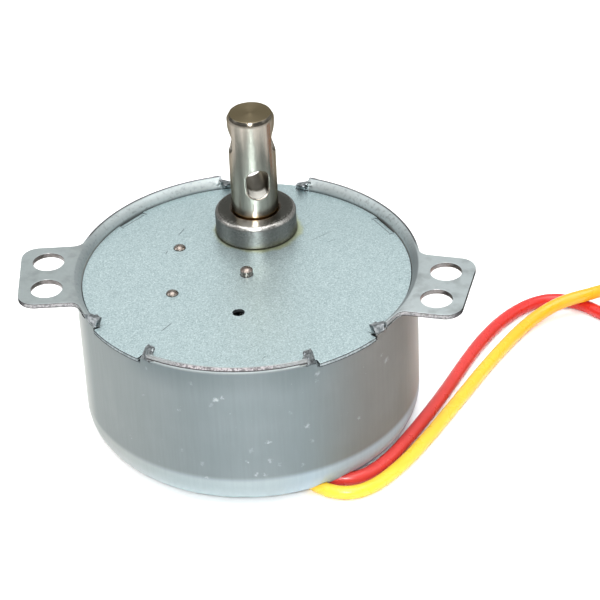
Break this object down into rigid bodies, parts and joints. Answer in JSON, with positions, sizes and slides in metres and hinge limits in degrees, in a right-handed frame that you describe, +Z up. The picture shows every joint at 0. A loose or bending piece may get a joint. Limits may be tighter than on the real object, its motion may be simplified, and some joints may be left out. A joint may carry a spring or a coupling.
{
  "type": "synchronous gear motor",
  "caption": "Flat round gear motor in a drawn steel can with mounting ears, an off-centre slotted output shaft in a collar, a reduction gear train inside and flexible leads.",
  "frame": {"origin": "centre of the can's flat base, on the can's axis", "axes": "+Z up along the can and the output shaft, +X towards one pair of ear holes, +Y from the can axis towards the output shaft"},
  "size_m": [0.1216, 0.0637, 0.0441],
  "materials": {
    "can_steel": "satin drawn steel sheet",
    "cover_zinc": "zinc coated steel sheet with a fine spangle",
    "bushing_iron": "oiled sintered iron",
    "shaft_nickel": "bright nickel plated steel",
    "pin_steel": "turned steel with peened ends",
    "pole_steel": "soft steel sheet",
    "bobbin_plastic": "moulded nylon",
    "winding_copper": "enamelled copper wire",
    "tape_film": "polyester tape",
    "washer_plastic": "punched fibre",
    "magnet_ferrite": "ferrite",
    "gear_plastic": "moulded acetal",
    "gear_iron": "sintered iron",
    "bush_plastic": "moulded nylon",
    "lead_yellow_vinyl": "glossy vinyl insulation",
    "lead_red_vinyl": "glossy vinyl insulation",
    "tinned_wire": "tinned stranded copper",
    "tie_plastic": "moulded nylon strip"
  },
  "bodies": {
    "motor_body": {"can": "can_steel", "cover_plate": "cover_zinc", "output_bushing": "bushing_iron", "rotor_axle": "pin_steel", "first_gear_pin": "pin_steel", "second_gear_pin": "pin_steel", "lower_pole_plate": "pole_steel", "upper_pole_plate": "pole_steel", "gear_plate": "cover_zinc", "bobbin": "bobbin_plastic", "stator_winding": "winding_copper", "winding_tape": "tape_film", "rotor_washer": "washer_plastic", "first_wheel_washer": "washer_plastic", "second_wheel_washer": "washer_plastic", "output_washer": "washer_plastic", "lead_bush": "bush_plastic", "lead_yellow": "lead_yellow_vinyl", "lead_yellow_coil": "lead_yellow_vinyl", "lead_yellow_tip": "tinned_wire", "lead_red": "lead_red_vinyl", "lead_red_coil": "lead_red_vinyl", "lead_red_tip": "tinned_wire", "coil_tie": "tie_plastic"},
    "rotor": {"rotor_magnet": "magnet_ferrite", "rotor_hub": "gear_plastic"},
    "first_wheel": {"first_wheel": "gear_plastic"},
    "second_wheel": {"second_wheel": "gear_iron"},
    "output": {"output_wheel": "gear_iron", "output_shaft": "shaft_nickel"}
  },
  "joints": [
    {"name": "rotor_spin", "type": "hinge", "parent": "motor_body", "child": "rotor", "pos_m": [0, 0, 0.015], "axis": [0, 0, 1], "continuous": true},
    {"name": "first_wheel_spin", "type": "hinge", "parent": "motor_body", "child": "first_wheel", "pos_m": [-0.01022, -0.00548, 0.015], "axis": [0, 0, 1], "continuous": true},
    {"name": "second_wheel_spin", "type": "hinge", "parent": "motor_body", "child": "second_wheel", "pos_m": [-0.01085, 0.0065, 0.015], "axis": [0, 0, 1], "continuous": true},
    {"name": "output_spin", "type": "hinge", "parent": "motor_body", "child": "output", "pos_m": [0, 0.0125, 0.015], "axis": [0, 0, 1], "continuous": true}
  ],
  "couplings": [
    {"joint": "first_wheel_spin", "follows": "rotor_spin", "ratio": -0.20833},
    {"joint": "second_wheel_spin", "follows": "rotor_spin", "ratio": 0.046769},
    {"joint": "output_spin", "follows": "rotor_spin", "ratio": -0.010087}
  ]
}
